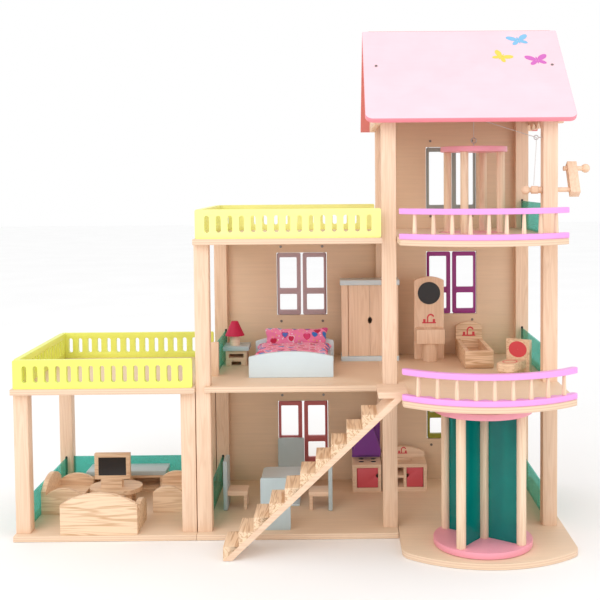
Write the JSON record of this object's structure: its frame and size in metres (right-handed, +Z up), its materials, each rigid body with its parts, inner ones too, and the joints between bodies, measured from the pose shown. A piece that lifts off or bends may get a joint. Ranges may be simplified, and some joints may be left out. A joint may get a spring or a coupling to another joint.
{
  "type": "wooden dollhouse",
  "caption": "Open-fronted wooden dollhouse with terrace wing, tower, stairs, crank lift, revolving door, hinged windows and furniture",
  "frame": {"origin": "on the floor under the middle of the middle section's base plate", "axes": "+Z up, +Y towards the back, +X towards the tower"},
  "size_m": [0.966, 0.5148, 0.856],
  "materials": {
    "plywood": "clear-lacquered birch plywood",
    "pine": "smooth sanded pine",
    "lime_paint": "yellow-green painted plywood",
    "pink_paint": "light pink painted plywood",
    "salmon_paint": "salmon painted plywood",
    "teal_acrylic": "clear teal acrylic sheet",
    "steel": "bright zinc",
    "red_paint": "red painted wood",
    "mauve_paint": "mauve painted wood",
    "olive_paint": "olive painted wood",
    "purple_paint": "purple painted wood",
    "grey_paint": "grey painted wood",
    "violet_paint": "violet painted wood",
    "disc_pink": "pink painted wood",
    "string": "white twisted string",
    "blue_paint": "pale blue painted wood",
    "bedding": "printed cotton"
  },
  "bodies": {
    "root": {"wing_base": "plywood", "wing_posts": "pine", "wing_roof": "plywood", "house_base": "plywood", "house_posts": "pine", "house_floor": "plywood", "house_roof": "plywood", "tower_base": "plywood", "tower_posts": "pine", "tower_floor_2": "plywood", "tower_floor_3": "plywood", "terrace_railings": "lime_paint", "house_walls": "plywood", "tower_walls": "plywood", "roof_front": "pink_paint", "roof_back": "salmon_paint", "gable_trims": "pine", "lift_beam": "pine", "acrylic_panels": "teal_acrylic", "screws": "steel", "hinge_pins": "steel", "balcony_rails": "violet_paint", "balusters": "pine", "stair_board": "pine", "stair_steps": "pine", "string_eyes": "steel", "lift_string": "string", "winch_string": "string", "bed_frame": "blue_paint", "bed_pillow": "bedding", "bed_blanket": "bedding", "night_table": "pine", "wardrobe_body": "pine", "kitchen_units": "pine", "bathroom_set": "pine", "dining_set": "blue_paint", "living_set": "pine"},
    "house_lower_left_leaf": {"house_lower_left": "red_paint"},
    "house_lower_right_leaf": {"house_lower_right": "red_paint"},
    "house_upper_left_leaf": {"house_upper_left": "mauve_paint"},
    "house_upper_right_leaf": {"house_upper_right": "mauve_paint"},
    "tower_lower_left_leaf": {"tower_lower_left": "olive_paint"},
    "tower_lower_right_leaf": {"tower_lower_right": "olive_paint"},
    "tower_middle_left_leaf": {"tower_middle_left": "purple_paint"},
    "tower_middle_right_leaf": {"tower_middle_right": "purple_paint"},
    "tower_upper_left_leaf": {"tower_upper_left": "grey_paint"},
    "tower_upper_right_leaf": {"tower_upper_right": "grey_paint"},
    "wardrobe_left": {"wardrobe_door_left": "pine"},
    "wardrobe_right": {"wardrobe_door_right": "pine"},
    "cooker_leaf": {"cooker_door": "red_paint"},
    "sink_leaf": {"sink_door": "red_paint"},
    "crank": {"winch_axle": "pine", "crank_arm": "pine"},
    "handle": {"crank_handle": "pine"},
    "lift": {"lift_discs": "disc_pink", "lift_rods": "pine", "lift_eye": "steel"},
    "door": {"door_discs": "disc_pink", "door_rods": "pine", "door_panels": "teal_acrylic"}
  },
  "joints": [
    {"name": "house_lower_left_hinge", "type": "hinge", "parent": "root", "child": "house_lower_left_leaf", "pos_m": [-0.0435, 0.15375, 0.105], "axis": [0, 0, 1], "range_deg": [0, 95]},
    {"name": "house_lower_right_hinge", "type": "hinge", "parent": "root", "child": "house_lower_right_leaf", "pos_m": [0.0435, 0.15375, 0.105], "axis": [0, 0, -1], "range_deg": [0, 95]},
    {"name": "house_upper_left_hinge", "type": "hinge", "parent": "root", "child": "house_upper_left_leaf", "pos_m": [-0.0435, 0.15375, 0.3935], "axis": [0, 0, 1], "range_deg": [0, 95]},
    {"name": "house_upper_right_hinge", "type": "hinge", "parent": "root", "child": "house_upper_right_leaf", "pos_m": [0.0435, 0.15375, 0.3935], "axis": [0, 0, -1], "range_deg": [0, 95]},
    {"name": "tower_lower_left_hinge", "type": "hinge", "parent": "root", "child": "tower_lower_left_leaf", "pos_m": [0.2455, 0.15375, 0.149], "axis": [0, 0, 1], "range_deg": [0, 95]},
    {"name": "tower_lower_right_hinge", "type": "hinge", "parent": "root", "child": "tower_lower_right_leaf", "pos_m": [0.3325, 0.15375, 0.149], "axis": [0, 0, -1], "range_deg": [0, 95]},
    {"name": "tower_middle_left_hinge", "type": "hinge", "parent": "root", "child": "tower_middle_left_leaf", "pos_m": [0.2455, 0.15375, 0.3935], "axis": [0, 0, 1], "range_deg": [0, 95]},
    {"name": "tower_middle_right_hinge", "type": "hinge", "parent": "root", "child": "tower_middle_right_leaf", "pos_m": [0.3325, 0.15375, 0.3935], "axis": [0, 0, -1], "range_deg": [0, 95]},
    {"name": "tower_upper_left_hinge", "type": "hinge", "parent": "root", "child": "tower_upper_left_leaf", "pos_m": [0.2455, 0.15375, 0.594], "axis": [0, 0, 1], "range_deg": [0, 95]},
    {"name": "tower_upper_right_hinge", "type": "hinge", "parent": "root", "child": "tower_upper_right_leaf", "pos_m": [0.3325, 0.15375, 0.594], "axis": [0, 0, -1], "range_deg": [0, 95]},
    {"name": "wardrobe_left_hinge", "type": "hinge", "parent": "root", "child": "wardrobe_left", "pos_m": [0.0925, 0.086, 0.33], "axis": [0, 0, -1], "range_deg": [0, 95]},
    {"name": "wardrobe_right_hinge", "type": "hinge", "parent": "root", "child": "wardrobe_right", "pos_m": [0.1655, 0.086, 0.33], "axis": [0, 0, 1], "range_deg": [0, 95]},
    {"name": "cooker_hinge", "type": "hinge", "parent": "root", "child": "cooker_leaf", "pos_m": [0.1055, 0.07, 0.036], "axis": [0, 0, -1], "range_deg": [0, 95]},
    {"name": "sink_hinge", "type": "hinge", "parent": "root", "child": "sink_leaf", "pos_m": [0.2235, 0.072, 0.036], "axis": [0, 0, 1], "range_deg": [0, 95]},
    {"name": "crank_turn", "type": "hinge", "parent": "root", "child": "crank", "pos_m": [0.45, -0.1185, 0.574], "axis": [1, 0, 0], "range_deg": [0, 1718]},
    {"name": "handle_spin", "type": "hinge", "parent": "crank", "child": "handle", "pos_m": [0.465, -0.09675, 0.60935], "axis": [1, 0, 0], "continuous": true},
    {"name": "lift_slide", "type": "slide", "parent": "root", "child": "lift", "axis": [0, 0, 1], "range_m": [-0.195, 0], "deforming": ["lift_string"]},
    {"name": "door_spin", "type": "hinge", "parent": "root", "child": "door", "pos_m": [0.299, -0.208, 0.12], "axis": [0, 0, 1], "continuous": true}
  ],
  "couplings": [
    {"joint": "crank_turn", "follows": "lift_slide", "rad_per_m": -153.85}
  ]
}
